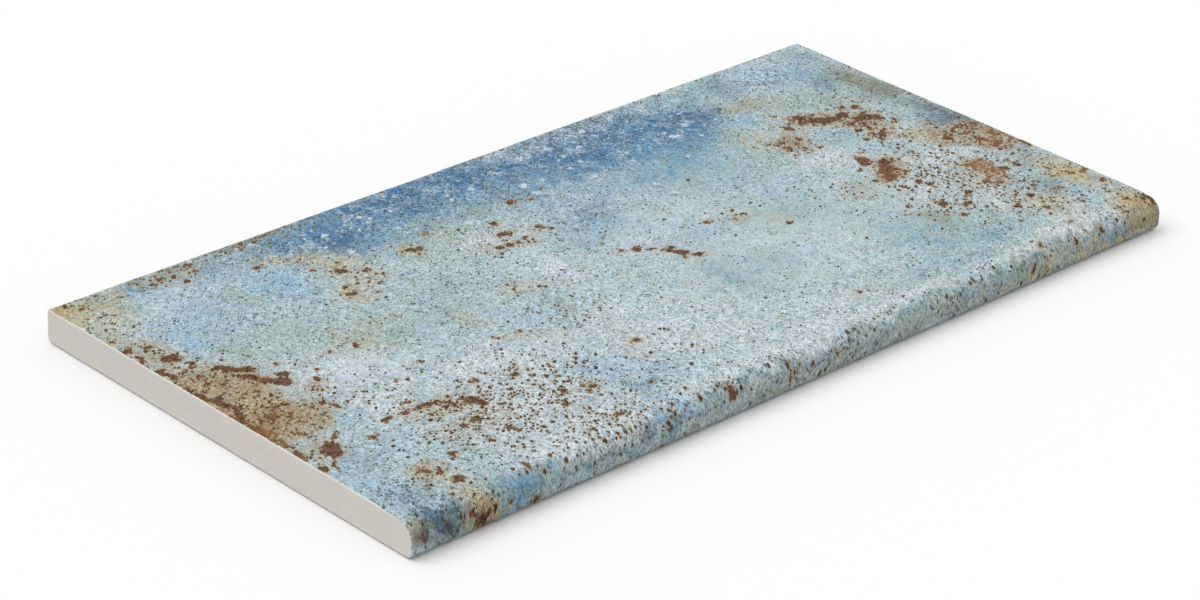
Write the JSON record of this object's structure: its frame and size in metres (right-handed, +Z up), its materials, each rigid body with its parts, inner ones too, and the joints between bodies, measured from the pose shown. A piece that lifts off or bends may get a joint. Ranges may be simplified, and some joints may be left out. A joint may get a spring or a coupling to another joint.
{
  "type": "pool stair tread tile",
  "caption": "Rectangular glazed stoneware tread tile with a rounded long front edge, laid as the stepping surface of pool stairs.",
  "frame": {"origin": "centre of the underside, on the floor that the tile lies on", "axes": "+X along the step, +Y from the rounded nose to the back edge, +Z up out of the walking surface"},
  "size_m": [0.6, 0.3, 0.02],
  "materials": {
    "glazed_stoneware": "satin weathered blue-grey and rust glaze on top and nose, bare pale body on the ends"
  },
  "bodies": {
    "root": {"tread_tile": "glazed_stoneware"}
  },
  "joints": []
}
